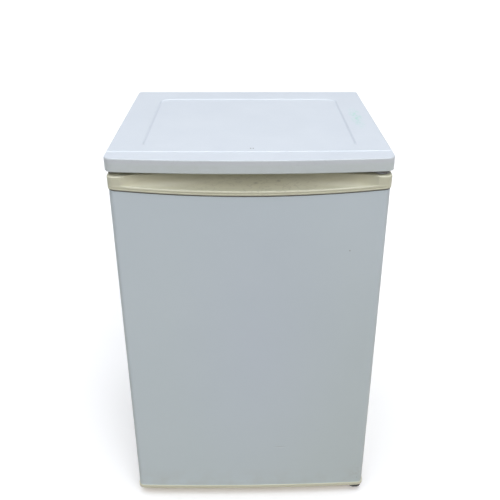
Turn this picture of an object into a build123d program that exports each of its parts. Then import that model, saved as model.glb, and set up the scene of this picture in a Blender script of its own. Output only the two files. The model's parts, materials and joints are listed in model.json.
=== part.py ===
from build123d import *
from math import cos, pi, sin
import os

# Undercounter refrigerator, millimetres.  Origin on the floor under the middle of the
# overall box, +X to the right, +Z up, and the door faces -Y.

# Overall size
WIDTH = 550.0
DEPTH = 560.0
HEIGHT = 850.0
FRONT = -DEPTH / 2
BACK = DEPTH / 2

# Worktop
WORKTOP_BOW = 14.0
WORKTOP_THICK = 28.0
WORKTOP_WALL = 4.0
WORKTOP_BACK = 253.0
CORNER_PLANE = FRONT + WORKTOP_BOW
SKIRT_BOTTOM = HEIGHT - WORKTOP_THICK
NOSING_DEPTH = 37.0
NOSING_BOW = 4.0
NOSING_DROP = 0.9
FIELD_HALF = 211.5
FIELD_FRONT = CORNER_PLANE + 66.0
FIELD_BACK = CORNER_PLANE + 446.0
FIELD_SINK = 1.5
FIELD_SLOPE = 3.5
FIELD_CORNER = 30.0

# Cabinet
SHEET = 0.8
CABINET_HALF = 270.0
CABINET_FRONT = CORNER_PLANE + 56.0
CABINET_BACK = 246.0
CABINET_TOP = 816.0
CABINET_BOTTOM = 28.0
FLANGE_IN = 246.0
TOP_FLANGE = 792.0
LOW_FLANGE = 80.0

# Cold compartment and its plastic liner
LINER = 1.5
ROOM_HALF = 230.0
ROOM_BACK = 208.0
ROOM_FLOOR = 95.0
ROOM_TOP = 780.0
STEP_FRONT = 70.0
STEP_TOP = 270.0
RUNNER_REACH = 10.0
RUNNER_THICK = 6.0
SHELF_LEVELS = (390.0, 510.0, 630.0)

# Compressor niche under the step
NICHE_FRONT = 103.0
NICHE_TOP = 235.0
COMPRESSOR_X = 40.0
COMPRESSOR_Y = 172.0
COMPRESSOR_BASE = 28.0
COMPRESSOR_TALL = 148.0

# Door
DOOR_HALF = 269.5
DOOR_SIDE_Y = CORNER_PLANE - 2.0
DOOR_APEX_Y = CORNER_PLANE - 8.0
DOOR_BACK_Y = CORNER_PLANE + 44.0
DOOR_CORNER = 12.0
SKIN_BOTTOM = 30.0
CAP_PROUD = 1.5
CAP_HALF = 271.5
CAP_CORNER = 14.0
CAP_TOP = 814.0
CAP_PLUG = 770.0
CAP_WALL = 3.0
LOW_CAP_BOTTOM = 21.0
LOW_CAP_PLUG = 44.0
RETURN_HALF = 254.0

# Sagging seam between the door skin and the top cap, and the finger pull above it
SEAM_MIDDLE = 774.5
SEAM_RISE = 14.6
SEAM_HALF = 300.0
GROOVE_LOW = 5.6
GROOVE_HIGH = 7.4
GROOVE_DEEP = 1.3
GUTTER_LIFT = 8.0
LIP_LIFT = 12.6
LIP_THICK = 6.0
GUTTER_ROUND = 12.0
SCOOP_DEEP = 26.0

# Door inner panel and seal
DYKE_HALF = 218.0
DYKE_WALL = 12.0
DYKE_CORNER = 13.0
DYKE_LOW = 104.0
DYKE_HIGH = 772.0
DYKE_BACK_Y = CORNER_PLANE + 80.0
PANEL_HALF = 263.0
SEAL_OUT = 254.0
SEAL_IN = 238.0
SEAL_LOW = 62.0
SEAL_HIGH = 806.0
SEAL_GAP = 0.4

# Hinges
HINGE_X = 254.0
HINGE_Y = CORNER_PLANE + 18.0
PIN_RADIUS = 4.0
PIN_PLAY = 0.05
BRACKET = 3.0
LOW_BRACKET_Z = 14.0

# Door shelves
BIN_HALF = 199.5
BIN_RIM_HALF = 205.0
BIN_FRONT_Y = DOOR_BACK_Y + 4.0
BIN_BACK_Y = CORNER_PLANE + 138.0
BIN_WALL = 2.0
BOTTLE_BIN_Z = 122.0
BOTTLE_BIN_TALL = 96.0
MIDDLE_BIN_Z = 392.0
TOP_BIN_Z = 590.0
SMALL_BIN_TALL = 66.0
LID_Y = BIN_FRONT_Y + 7.0
LID_Z = TOP_BIN_Z + SMALL_BIN_TALL + 10.0

# Feet
FOOT_X = 235.0
FRONT_FOOT_Y = -172.0
REAR_FOOT_Y = 205.0
FOOT_RADIUS = 17.0
STEM_RADIUS = 3.95
RAIL_LOW = 16.0

# Condenser on the back
TUBE = 2.5
WIRE = 0.8
CONDENSER_Y = 271.5
PASSES = 13
PASS_PITCH = 40.0
FIRST_PASS = 300.0
COIL_HALF = 215.0
WIRE_PITCH = 12.5
WIRES = 31

# Control housing on the right wall of the compartment
BOX_IN = 190.0
BOX_NARROW = 208.0
BOX_LOW = 690.0
BOX_HIGH = 765.0
BOX_FRONT = -182.0
BOX_STEP = -110.0
BOX_BACK = 42.0
SWITCH_X = 214.0
SWITCH_Z = 728.0
KNOB_Y = 12.0
KNOB_Z = 728.0


def block(x0, x1, y0, y1, z0, z1):
    """A box from its low and high coordinates."""
    middle = ((x0 + x1) / 2, (y0 + y1) / 2, (z0 + z1) / 2)
    return Pos(*middle) * Box(x1 - x0, y1 - y0, z1 - z0)


def rod(start, end, radius):
    """A round bar from one point to another."""
    run = Vector(end) - Vector(start)
    return Solid.make_cylinder(radius, run.length, Plane(origin=start, z_dir=run))


def both(shape):
    """The shape and its mirror image on the other side of the middle plane."""
    return [shape, mirror(shape, Plane.YZ)]


def group(solids):
    """Separate solids kept apart in one node."""
    return Compound(children=list(solids))


def tube(points, corner, radius):
    """A bent tube along a route with rounded corners."""
    route = FilletPolyline(*points, radius=corner)
    plane = Plane(origin=route @ 0, z_dir=route % 0)
    return sweep(plane * Circle(radius), path=route)


def bowed_plan(half, side_y, apex_y, back_y, corner):
    """Plan outline with a bowed front and rounded front corners."""
    bow = ThreePointArc((-half, side_y), (0, apex_y), (half, side_y))
    rest = Polyline((half, side_y), (half, back_y), (-half, back_y), (-half, side_y))
    face = make_face(bow + rest)
    return fillet(face.vertices().sort_by(Axis.Y)[:2], corner)


def column(plan, z0, z1):
    """A plan outline raised from one height to another."""
    return extrude(Pos(0, 0, z0) * plan, amount=z1 - z0)


def save(name, shape):
    """Write one node to its STEP file."""
    export_step(shape, "parts/" + name + ".step")


def worktop():
    """Moulded top: bowed front, sunk field, stepped nosing and a hollow underside."""
    plan = bowed_plan(WIDTH / 2, CORNER_PLANE, FRONT, WORKTOP_BACK, 20)
    plan = fillet(plan.vertices().sort_by(Axis.Y)[-2:], 6)
    top = column(plan, SKIRT_BOTTOM, HEIGHT)
    top = fillet(top.faces().sort_by(Axis.Z)[-1].edges(), 3.5)
    top = fillet(top.faces().sort_by(Axis.Z)[0].edges(), 2)
    top -= sunk_field()
    top -= nosing_cut()
    wall = WORKTOP_WALL
    inside = bowed_plan(WIDTH / 2 - wall, CORNER_PLANE + wall, FRONT + wall, WORKTOP_BACK - wall, 16)
    top -= column(inside, SKIRT_BOTTOM, HEIGHT - wall - FIELD_SINK)
    return top + worktop_frame() + worktop_tabs()


def sunk_field():
    """The shallow field in the worktop, with sloping edges."""
    width = 2 * FIELD_HALF
    depth = FIELD_BACK - FIELD_FRONT
    middle = Pos(0, (FIELD_BACK + FIELD_FRONT) / 2, 0)
    rim = RectangleRounded(width, depth, FIELD_CORNER)
    floor = RectangleRounded(width - 2 * FIELD_SLOPE, depth - 2 * FIELD_SLOPE, FIELD_CORNER - FIELD_SLOPE)
    return loft([Pos(0, 0, HEIGHT) * middle * rim, Pos(0, 0, HEIGHT - FIELD_SINK) * middle * floor])


def nosing_cut():
    """The front band of the worktop, a little lower than the rest."""
    edge_y = CORNER_PLANE + NOSING_DEPTH
    reach = WIDTH / 2 + 1
    edge = ThreePointArc((-reach, edge_y + NOSING_BOW), (0, edge_y), (reach, edge_y + NOSING_BOW))
    front = FRONT - 1
    rest = Polyline((reach, edge_y + NOSING_BOW), (reach, front), (-reach, front), (-reach, edge_y + NOSING_BOW))
    return extrude(Pos(0, 0, HEIGHT - NOSING_DROP) * make_face(edge + rest), amount=2, taper=-50)


def worktop_frame():
    """The ring of ribs under the worktop that stands on the cabinet."""
    outer = CABINET_HALF - 1
    front = CABINET_FRONT + 4
    back = CABINET_BACK - 1
    rib = 3.0
    top = HEIGHT - WORKTOP_WALL - FIELD_SINK
    ring = block(-outer, outer, front, back, CABINET_TOP, top)
    ring -= block(rib - outer, outer - rib, front + rib, back - rib, CABINET_TOP, top)
    for x in (-130, 0, 130):
        ring += block(x - 1.25, x + 1.25, front + rib, back - rib, CABINET_TOP + 8, top)
    for y in (-70, 90):
        ring += block(rib - outer, outer - rib, y - 1.25, y + 1.25, CABINET_TOP + 8, top)
    return ring - block(HINGE_X - 40, outer + 1, front - 1, -90, CABINET_TOP - 1, CABINET_TOP + 8)


def worktop_tabs():
    """Two tabs at the back that screw to the cabinet."""
    tab = block(150, 180, CABINET_BACK, CABINET_BACK + 3, CABINET_TOP - 22, SKIRT_BOTTOM + 12)
    return tab + mirror(tab, Plane.YZ)


def pan_screw(x, y, z, length, direction=(0, 0, -1)):
    """A pan-head screw whose head sits on the point given."""
    into = Vector(direction)
    seat = Vector(x, y, z)
    head = rod(seat, seat - into * 2.4, 3.8)
    head = fillet(head.edges().sort_by_distance(seat - into * 2.4)[0], 1.2)
    return head + rod(seat, seat + into * length, 2.0)


def cabinet_screws():
    """Screws of the worktop's rear tabs and of the two hinge brackets."""
    screws = both(pan_screw(165, CABINET_BACK + 3, CABINET_TOP - 12, 14, (0, -1, 0)))
    for x, y in ((HINGE_X - 14, -190), (HINGE_X + 3, -150), (HINGE_X - 14, -112)):
        screws.append(pan_screw(x, y, CABINET_TOP + BRACKET, 16))
    for z in (36, 50):
        screws.append(pan_screw(HINGE_X - 8, CABINET_FRONT - BRACKET, z, 16, (0, 1, 0)))
    return screws


def side_panel():
    """Right-hand cabinet side: a folded steel sheet with a front flange."""
    inner = CABINET_HALF - SHEET
    panel = block(inner, CABINET_HALF, CABINET_FRONT, CABINET_BACK, CABINET_BOTTOM, CABINET_TOP)
    front = block(FLANGE_IN, inner, CABINET_FRONT, CABINET_FRONT + SHEET, CABINET_BOTTOM, CABINET_TOP)
    return panel + front


def top_panel():
    """Cabinet top sheet with a front flange above the opening."""
    inner = CABINET_HALF - SHEET
    sheet = block(-inner, inner, CABINET_FRONT + SHEET, CABINET_BACK - SHEET, CABINET_TOP - SHEET, CABINET_TOP)
    flange = block(-FLANGE_IN, FLANGE_IN, CABINET_FRONT, CABINET_FRONT + SHEET, TOP_FLANGE, CABINET_TOP)
    return sheet + flange


def front_rail():
    """Steel rail across the cabinet under the opening."""
    return block(-FLANGE_IN, FLANGE_IN, CABINET_FRONT, CABINET_FRONT + SHEET, CABINET_BOTTOM, LOW_FLANGE)


def back_panel():
    """Flat steel sheet behind the foam."""
    inner = CABINET_HALF - SHEET
    return block(-inner, inner, CABINET_BACK - SHEET, CABINET_BACK, NICHE_TOP, CABINET_TOP)


def base_panel():
    """Steel sheets under the foam: floor, niche front and niche roof."""
    inner = CABINET_HALF - SHEET
    low = CABINET_BOTTOM
    floor = block(-inner, inner, CABINET_FRONT + SHEET, NICHE_FRONT, low, low + SHEET)
    riser = block(-inner, inner, NICHE_FRONT, NICHE_FRONT + SHEET, low, NICHE_TOP)
    roof = block(-inner, inner, NICHE_FRONT + SHEET, CABINET_BACK - SHEET, NICHE_TOP - SHEET, NICHE_TOP)
    return [floor, riser, roof]


def cabinet_foam():
    """Insulation, as one slab for each wall."""
    inner = CABINET_HALF - SHEET
    room = ROOM_HALF + LINER
    front = CABINET_FRONT + LINER
    back = CABINET_BACK - SHEET
    low = CABINET_BOTTOM + SHEET
    high = CABINET_TOP - SHEET
    step = STEP_FRONT + LINER
    slabs = both(block(room, inner, front, NICHE_FRONT, low, high))
    slabs += both(block(room, inner, NICHE_FRONT, back, NICHE_TOP, high))
    slabs.append(block(-room, room, front, back, ROOM_TOP + LINER, high))
    slabs.append(block(-room, room, ROOM_BACK + LINER, back, NICHE_TOP, ROOM_TOP + LINER))
    slabs.append(block(-room, room, step, ROOM_BACK + LINER, NICHE_TOP, STEP_TOP - LINER))
    slabs.append(block(-room, room, step, NICHE_FRONT, ROOM_FLOOR - LINER, NICHE_TOP))
    slabs.append(block(-room, room, front, NICHE_FRONT, low, ROOM_FLOOR - LINER))
    return slabs


def room_form(grow):
    """The compartment's inside with its step, enlarged by a wall thickness."""
    half = ROOM_HALF + grow
    form = block(-half, half, CABINET_FRONT, ROOM_BACK + grow, ROOM_FLOOR - grow, ROOM_TOP + grow)
    form -= block(-half, half, STEP_FRONT + grow, ROOM_BACK + grow, ROOM_FLOOR - grow, STEP_TOP - grow)
    uprights = form.edges().filter_by(Axis.Z).group_by(Axis.Y)[-1]
    form = fillet(uprights, 14 + grow)
    form = fillet(behind_mouth(form.faces().sort_by(Axis.Z)[-1]), 8 + grow)
    return fillet(behind_mouth(form.faces().sort_by(Axis.Z)[0]), 8 + grow)


def behind_mouth(face):
    """The edges of a compartment face, apart from the one at the open front."""
    return face.edges().filter_by(lambda edge: edge.center().Y > CABINET_FRONT + 1)


def inner_liner():
    """Formed plastic liner with its front flange, shelf runners and drip channel."""
    liner = room_form(LINER) - room_form(0)
    front = CABINET_FRONT
    flange = block(-FLANGE_IN, FLANGE_IN, front, front + LINER, LOW_FLANGE, TOP_FLANGE)
    liner += flange - room_form(0)
    for level in (*SHELF_LEVELS, STEP_TOP + 1):
        back = 190 if level > STEP_TOP + 1 else STEP_FRONT
        runner = block(ROOM_HALF - RUNNER_REACH, ROOM_HALF, -150, back, level - RUNNER_THICK, level)
        nose = runner.edges().filter_by(Axis.Z).group_by(Axis.X)[0]
        runner = fillet(nose, 6)
        liner += both(runner)
    liner += block(-120, 120, 181, 185, STEP_TOP, STEP_TOP + 5)
    return liner + evaporator_pegs()


def drain_hose():
    """Short hose that takes melt water down to the tray."""
    top = (0, 196, STEP_TOP)
    bottom = (0, 196, 186)
    return rod(bottom, top, 5) - rod(bottom, top, 3.4)


def hinge_plate(z0):
    """A flat hinge bracket: a rounded nose over the pin and a foot on the cabinet."""
    nose_y = HINGE_Y
    plate = block(HINGE_X - 18, HINGE_X + 13, nose_y, CABINET_FRONT + 2, z0, z0 + BRACKET)
    nose = Pos(HINGE_X - 2.5, nose_y, z0 + BRACKET / 2) * Cylinder(15.5, BRACKET)
    return plate + nose


def top_hinge():
    """Top hinge bracket, screwed down on the cabinet's top sheet."""
    foot = block(HINGE_X - 26, HINGE_X + 13, CABINET_FRONT + 2, -98, CABINET_TOP, CABINET_TOP + BRACKET)
    foot = fillet(foot.edges().filter_by(Axis.Z).group_by(Axis.Y)[-1], 6)
    return hinge_plate(CABINET_TOP) + foot


def top_pin():
    """Riveted pin that hangs from the top bracket into the door."""
    top = CABINET_TOP + BRACKET
    pin = rod((HINGE_X, HINGE_Y, CAP_TOP - 13), (HINGE_X, HINGE_Y, top), PIN_RADIUS)
    head = rod((HINGE_X, HINGE_Y, top), (HINGE_X, HINGE_Y, top + 1.6), 6.5)
    return chamfer(pin.edges().sort_by(Axis.Z)[0], 1) + head


def bottom_hinge():
    """Bottom hinge bracket: a plate under the door and a leg up the cabinet's front."""
    leg_y = CABINET_FRONT - BRACKET
    front = HINGE_Y - 21
    plate = block(HINGE_X - 16, HINGE_X + 14, front, CABINET_FRONT, LOW_BRACKET_Z, LOW_BRACKET_Z + BRACKET)
    plate = fillet(plate.edges().filter_by(Axis.Z).group_by(Axis.Y)[0], 13)
    leg = block(HINGE_X - 16, HINGE_X + 14, leg_y, CABINET_FRONT, LOW_BRACKET_Z, 60)
    rim = block(HINGE_X + 11, HINGE_X + 14, front + 14, leg_y, LOW_BRACKET_Z - 5, LOW_BRACKET_Z)
    return plate + leg + rim


def bottom_pin():
    """Bottom pin with a hexagon head under the plate."""
    head = extrude(Pos(HINGE_X, HINGE_Y, LOW_BRACKET_Z - 6) * RegularPolygon(7.5, 6), amount=6)
    pin = rod((HINGE_X, HINGE_Y, LOW_BRACKET_Z), (HINGE_X, HINGE_Y, LOW_CAP_BOTTOM + 17), PIN_RADIUS)
    return head + chamfer(pin.edges().sort_by(Axis.Z)[-1], 1)


def base_rail():
    """Right-hand base rail, an inverted channel under the cabinet's edge."""
    rail = block(220, 250, -206, 240, RAIL_LOW, CABINET_BOTTOM)
    return rail - block(222, 248, -206, 240, RAIL_LOW, CABINET_BOTTOM - 2)


def foot_nuts():
    """Nuts fixed inside the base rails for the levelling feet."""
    nut = extrude(Pos(FOOT_X, FRONT_FOOT_Y, 18) * RegularPolygon(9, 6), amount=8)
    return both(nut - rod((FOOT_X, FRONT_FOOT_Y, 18), (FOOT_X, FRONT_FOOT_Y, 26), STEM_RADIUS + PIN_PLAY))


def front_foot():
    """Right-hand levelling foot: a ribbed plastic pad on a threaded stem."""
    pad = Pos(FOOT_X, FRONT_FOOT_Y, 5) * Cylinder(FOOT_RADIUS, 10)
    pad = chamfer(pad.edges().group_by(Axis.Z)[0], 1.5)
    for step in range(12):
        angle = 2 * pi * step / 12
        x = FOOT_X + (FOOT_RADIUS + 0.6) * cos(angle)
        y = FRONT_FOOT_Y + (FOOT_RADIUS + 0.6) * sin(angle)
        pad -= rod((x, y, 2), (x, y, 10), 2)
    return pad + rod((FOOT_X, FRONT_FOOT_Y, 10), (FOOT_X, FRONT_FOOT_Y, 42), STEM_RADIUS)


def rear_feet():
    """Two fixed moulded feet under the back ends of the rails."""
    foot = Pos(FOOT_X, REAR_FOOT_Y, RAIL_LOW / 2) * Cone(14, 16, RAIL_LOW)
    return group(both(foot))


def plinth():
    """Slotted toe strip in front of the base rails."""
    back = -206.2
    slots = []
    for count in range(22):
        x = -236.25 + 22.5 * count
        slots.append(block(x - 8, x + 8, back - 2.5, back, 11, 14))
        slots.append(block(x - 8, x + 8, back - 2.5, back, 18, 21))
    return block(-262, 262, back - 2.5, back, 5, CABINET_BOTTOM - 0.5) - slots


def compressor_plate():
    """Steel cross plate that carries the compressor."""
    plate = block(-219.9, 219.9, 112, 238, 18, 19.5)
    lips = block(-219.9, 219.9, 112, 113.5, 19.5, CABINET_BOTTOM)
    lips += block(-219.9, 219.9, 236.5, 238, 19.5, CABINET_BOTTOM)
    return plate + lips


def compressor_form(grow):
    """Rounded pot of the compressor, enlarged or shrunk by a wall thickness."""
    low = COMPRESSOR_BASE + 4 - grow
    high = COMPRESSOR_BASE + COMPRESSOR_TALL + grow
    plan = Pos(COMPRESSOR_X, COMPRESSOR_Y, low) * Ellipse(84 + grow, 60 + grow)
    pot = extrude(plan, amount=high - low)
    pot = fillet(pot.edges().group_by(Axis.Z)[-1], 30 + grow)
    return fillet(pot.edges().group_by(Axis.Z)[0], 16 + grow)


def compressor_shell():
    """Welded steel pot with a seam band and a mounting base."""
    band = Pos(COMPRESSOR_X, COMPRESSOR_Y, 104) * Ellipse(87, 63)
    pot = compressor_form(0) + extrude(band, amount=9) - compressor_form(-3.2)
    base = block(COMPRESSOR_X - 95, COMPRESSOR_X + 95, COMPRESSOR_Y - 50, COMPRESSOR_Y + 50, 28, 34)
    return pot + (base - compressor_form(-1))


def compressor_motor():
    """Motor and pump unit hung inside the pot."""
    spot = Pos(COMPRESSOR_X, COMPRESSOR_Y, 92)
    motor = spot * Cylinder(46, 66)
    pump = Pos(COMPRESSOR_X, COMPRESSOR_Y, 133) * Box(92, 54, 18)
    return motor + pump


def compressor_mounts():
    """Rubber mounts between the compressor's base and the plate."""
    mounts = []
    for x in (COMPRESSOR_X - 84, COMPRESSOR_X + 84):
        for y in (COMPRESSOR_Y - 40, COMPRESSOR_Y + 40):
            mounts.append(rod((x, y, 19.5), (x, y, 28), 8))
    return mounts


def compressor_bolts():
    """Four bolts that hold the compressor down through its rubber mounts."""
    bolts = []
    for x in (COMPRESSOR_X - 84, COMPRESSOR_X + 84):
        for y in (COMPRESSOR_Y - 40, COMPRESSOR_Y + 40):
            head = extrude(Pos(x, y, 34) * RegularPolygon(6, 6), amount=4)
            bolts.append(head + rod((x, y, 16), (x, y, 34), 3))
    return bolts


def terminal_box():
    """Electrical cover on the left end of the compressor."""
    x = COMPRESSOR_X - 84
    box = block(x - 38, x + 14, COMPRESSOR_Y - 30, COMPRESSOR_Y + 30, 62, 116)
    box = fillet(box.edges().filter_by(Axis.Z), 6)
    band = Pos(COMPRESSOR_X, COMPRESSOR_Y, 104) * Ellipse(87, 63)
    return box - compressor_form(0) - extrude(band, amount=9)


def cord_gland():
    """Strain-relief gland on the electrical cover, where a mains lead would enter."""
    x = COMPRESSOR_X - 84 - 38
    nut = extrude(Plane(origin=(x, COMPRESSOR_Y, 78), z_dir=(-1, 0, 0)) * RegularPolygon(9, 6), amount=8)
    nose = rod((x - 8, COMPRESSOR_Y, 78), (x - 18, COMPRESSOR_Y, 78), 6.5)
    return nut + nose - rod((x - 18, COMPRESSOR_Y, 78), (x, COMPRESSOR_Y, 78), 3.6)


def condenser_route():
    """The discharge line, then the serpentine from the top pass to the bottom one."""
    top = FIRST_PASS + (PASSES - 1) * PASS_PITCH
    port = COMPRESSOR_X - 70
    left = -COIL_HALF - 18
    points = [(port, COMPRESSOR_Y + 20, 140), (port - 60, COMPRESSOR_Y + 20, 140)]
    points += [(port - 60, CONDENSER_Y, 140), (left, CONDENSER_Y, 140), (left, CONDENSER_Y, top)]
    side = 1
    for count in range(PASSES - 1):
        z = top - count * PASS_PITCH
        points += [(side * COIL_HALF, CONDENSER_Y, z), (side * COIL_HALF, CONDENSER_Y, z - PASS_PITCH)]
        side = -side
    points += [(COIL_HALF + 18, CONDENSER_Y, FIRST_PASS), (COIL_HALF + 18, CONDENSER_Y, 262)]
    return points


def condenser_tube():
    """Steel serpentine with its discharge line from the compressor."""
    return tube(condenser_route(), 18, TUBE)


def condenser_wires():
    """Upright wires in front of and behind the serpentine."""
    wires = []
    top = FIRST_PASS + (PASSES - 1) * PASS_PITCH
    reach = TUBE + WIRE + 0.05
    for count in range(WIRES):
        x = (count - (WIRES - 1) / 2) * WIRE_PITCH
        for y in (CONDENSER_Y - reach, CONDENSER_Y + reach):
            wires.append(rod((x, y, FIRST_PASS - 12), (x, y, top + 12), WIRE))
    return wires


def condenser_brackets(coil):
    """Four plastic stand-offs that grip the serpentine."""
    brackets = []
    for z in (FIRST_PASS + PASS_PITCH, FIRST_PASS + (PASSES - 2) * PASS_PITCH):
        post = block(193, 207, CABINET_BACK, BACK, z - 9, z + 9)
        post = fillet(post.edges().filter_by(Axis.X).group_by(Axis.Y)[-1], 4)
        brackets += both(post)
    return [bracket - coil for bracket in brackets]


def filter_drier():
    """Copper filter drier at the end of the condenser."""
    x = COIL_HALF + 18
    body = rod((x, CONDENSER_Y - 3.5, 258), (x, CONDENSER_Y - 3.5, 178), 9)
    body = fillet(body.edges(), 4)
    return body + rod((x, CONDENSER_Y - 3.5, 178), (x, CONDENSER_Y - 3.5, 170), 3) + rod(
        (x, CONDENSER_Y - 3.5, 262), (x, CONDENSER_Y - 3.5, 258), 3
    )


def capillary_tube():
    """Fine tube from the drier up to the evaporator."""
    x = COIL_HALF + 18
    points = [(x, CONDENSER_Y - 3.5, 170), (x, CONDENSER_Y - 3.5, 150), (x, 257, 150), (182, 257, 150)]
    points += [(182, 257, 700), (182, 206, 700)]
    return tube(points, 5, 1.2)


def suction_line():
    """Return tube from the evaporator down to the compressor."""
    points = [(COMPRESSOR_X + 74, COMPRESSOR_Y + 16, 140), (150, COMPRESSOR_Y + 16, 140), (168, 257, 140)]
    points += [(168, 257, 730), (168, 206, 730)]
    return tube(points, 12, 3)


def evaporator_plate():
    """Aluminium evaporator plate with its pressed channel, on the rear wall."""
    plate = block(-195, 195, 203.5, 205, 480, 760)
    plate = fillet(plate.edges().filter_by(Axis.Y), 10)
    for count in range(6):
        z = 505 + 46 * count
        channel = block(-172, 172, 201, 203.5, z - 5, z + 5)
        plate += fillet(channel.edges().filter_by(Axis.Y), 4.9)
    for count in range(5):
        z = 505 + 46 * count
        x = 167 if count % 2 else -167
        plate += block(x - 5, x + 5, 201, 203.5, z, z + 46)
    return plate


def evaporator_pegs():
    """Four headed pegs on the rear wall that hold the evaporator plate."""
    pegs = []
    for x in (-180, 180):
        for z in (494, 746):
            pegs.append(rod((x, 200, z), (x, 203.5, z), 6) + rod((x, 203.5, z), (x, ROOM_BACK, z), 3))
    return pegs


def drip_tray():
    """Plastic pan on top of the compressor that catches melt water."""
    low = COMPRESSOR_BASE + COMPRESSOR_TALL
    tray = block(-45, 115, 120, 222, low, low + 24)
    tray = fillet(tray.edges().filter_by(Axis.Z), 12)
    inside = block(-43, 113, 122, 220, low + 2, low + 24)
    return tray - fillet(inside.edges().filter_by(Axis.Z), 10)


def control_housing():
    """Moulded box for the lamp, the thermostat and the door switch."""
    wall = 2.0
    back_x = ROOM_HALF - 0.1
    wide = block(BOX_IN, back_x, BOX_STEP, BOX_BACK, BOX_LOW, BOX_HIGH)
    wide = fillet(wide.edges().filter_by(Axis.Y).group_by(Axis.X)[0], 5)
    nose = block(BOX_NARROW, back_x, BOX_FRONT, BOX_STEP, BOX_LOW + 12, BOX_HIGH - 12)
    inside = block(BOX_IN + wall, back_x, BOX_STEP + wall, BOX_BACK - wall, BOX_LOW + wall, BOX_HIGH - wall)
    hollow = block(BOX_NARROW + wall, back_x, BOX_FRONT + wall, BOX_STEP + wall, BOX_LOW + 14, BOX_HIGH - 14)
    window = block(BOX_IN, BOX_IN + wall, BOX_STEP + 8, -28, BOX_LOW + 10, BOX_HIGH - 10)
    housing = wide + nose - inside - hollow - window
    housing -= rod((BOX_IN, KNOB_Y, KNOB_Z), (BOX_IN + wall, KNOB_Y, KNOB_Z), 3.06)
    return housing - rod((SWITCH_X, BOX_FRONT, SWITCH_Z), (SWITCH_X, BOX_FRONT + wall, SWITCH_Z), 3.55)


def lamp_cover():
    """Ribbed translucent window over the lamp."""
    cover = block(BOX_IN - 1.5, BOX_IN + 1.9, BOX_STEP + 8, -28, BOX_LOW + 10, BOX_HIGH - 10)
    for count in range(12):
        y = BOX_STEP + 13 + 6 * count
        cover -= block(BOX_IN - 1.5, BOX_IN - 0.5, y - 1, y + 1, BOX_LOW + 14, BOX_HIGH - 14)
    return cover


def lamp_bulb():
    """Small screw-cap lamp lying along the housing."""
    spot = Plane(origin=(210, -50, 728), z_dir=(0, -1, 0))
    glass = spot * Pos(0, 0, 18) * Cylinder(12, 28)
    glass = fillet(glass.edges(), 11)
    return glass + spot * Pos(0, 0, 1) * Cylinder(6.9, 12)


def lamp_holder():
    """Moulded socket for the lamp."""
    cup = rod((210, -54, 728), (210, -30, 728), 12)
    return cup - rod((210, -54, 728), (210, -44, 728), 7)


def thermostat_body():
    """Thermostat with a bore for its spindle."""
    body = block(204, 226, KNOB_Y - 18, KNOB_Y + 18, KNOB_Z - 16, KNOB_Z + 16)
    return body - rod((204, KNOB_Y, KNOB_Z), (216, KNOB_Y, KNOB_Z), 3.06)


def thermostat_spindle():
    """Spindle that the knob turns."""
    return rod((BOX_IN - 10, KNOB_Y, KNOB_Z), (215, KNOB_Y, KNOB_Z), 3)


def thermostat_knob():
    """Round knob with a raised grip bar."""
    outer = BOX_IN - 0.4
    disc = rod((outer, KNOB_Y, KNOB_Z), (outer - 6, KNOB_Y, KNOB_Z), 19)
    disc = fillet(disc.edges().group_by(Axis.X)[0], 2)
    grip = block(outer - 15, outer - 6, KNOB_Y - 3.5, KNOB_Y + 3.5, KNOB_Z - 17, KNOB_Z + 17)
    grip = fillet(grip.edges().filter_by(Axis.X), 2.5)
    return disc + grip - thermostat_spindle()


def light_switch():
    """Door-operated plunger of the lamp switch."""
    tip = DYKE_BACK_Y + 0.3
    plunger = rod((SWITCH_X, tip, SWITCH_Z), (SWITCH_X, BOX_FRONT + 18, SWITCH_Z), 3.5)
    return fillet(plunger.edges().sort_by(Axis.Y)[0], 1.5)


def wire_shelf():
    """Coated wire shelf at height zero: a mat of wires on a frame, and a rear rail on posts."""
    half = 225.0
    front = -112.0
    back = 188.0
    z = 3.2
    rail_z = z + 22
    corners = [(half, front, z), (half, back, z), (-half, back, z), (-half, front, z)]
    frame = tube([(0, front, z)] + corners + [(-1, front, z)], 16, 2.5)
    bars = [rod((-1, front, z), (0, front, z), 2.5)]
    bars += [rod((-half, y, z - 1), (half, y, z - 1), 2) for y in (-40, 38, 116)]
    for count in range(25):
        x = (count - 12) * 17.5
        bars.append(rod((x, front, z + 1.2), (x, back, z + 1.2), 1.4))
    mat = frame + bars
    rail = rod((-half + 20, back, rail_z), (half - 20, back, rail_z), 2)
    posts = [rod((x, back, z), (x, back, rail_z), 1.8) for x in (-175, 0, 175)]
    return [mat, rail + posts - mat]


def crisper_cover():
    """Glass shelf over the crisper."""
    return block(-226, 226, -108, 174, STEP_TOP + 1.2, STEP_TOP + 5.2)


def crisper_trim():
    """Moulded strip on the front edge of the glass."""
    trim = block(-226, 226, -113, -100, STEP_TOP - 1.5, STEP_TOP + 8)
    trim = fillet(trim.edges().filter_by(Axis.X).group_by(Axis.Y)[0], 3)
    return trim - block(-226, 226, -108, -100, STEP_TOP + 1.2, STEP_TOP + 5.2) - block(
        ROOM_HALF - RUNNER_REACH - 1, 227, -114, -99, STEP_TOP - 2, STEP_TOP + 1.2
    ) - block(-227, 1 - ROOM_HALF + RUNNER_REACH, -114, -99, STEP_TOP - 2, STEP_TOP + 1.2)


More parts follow.
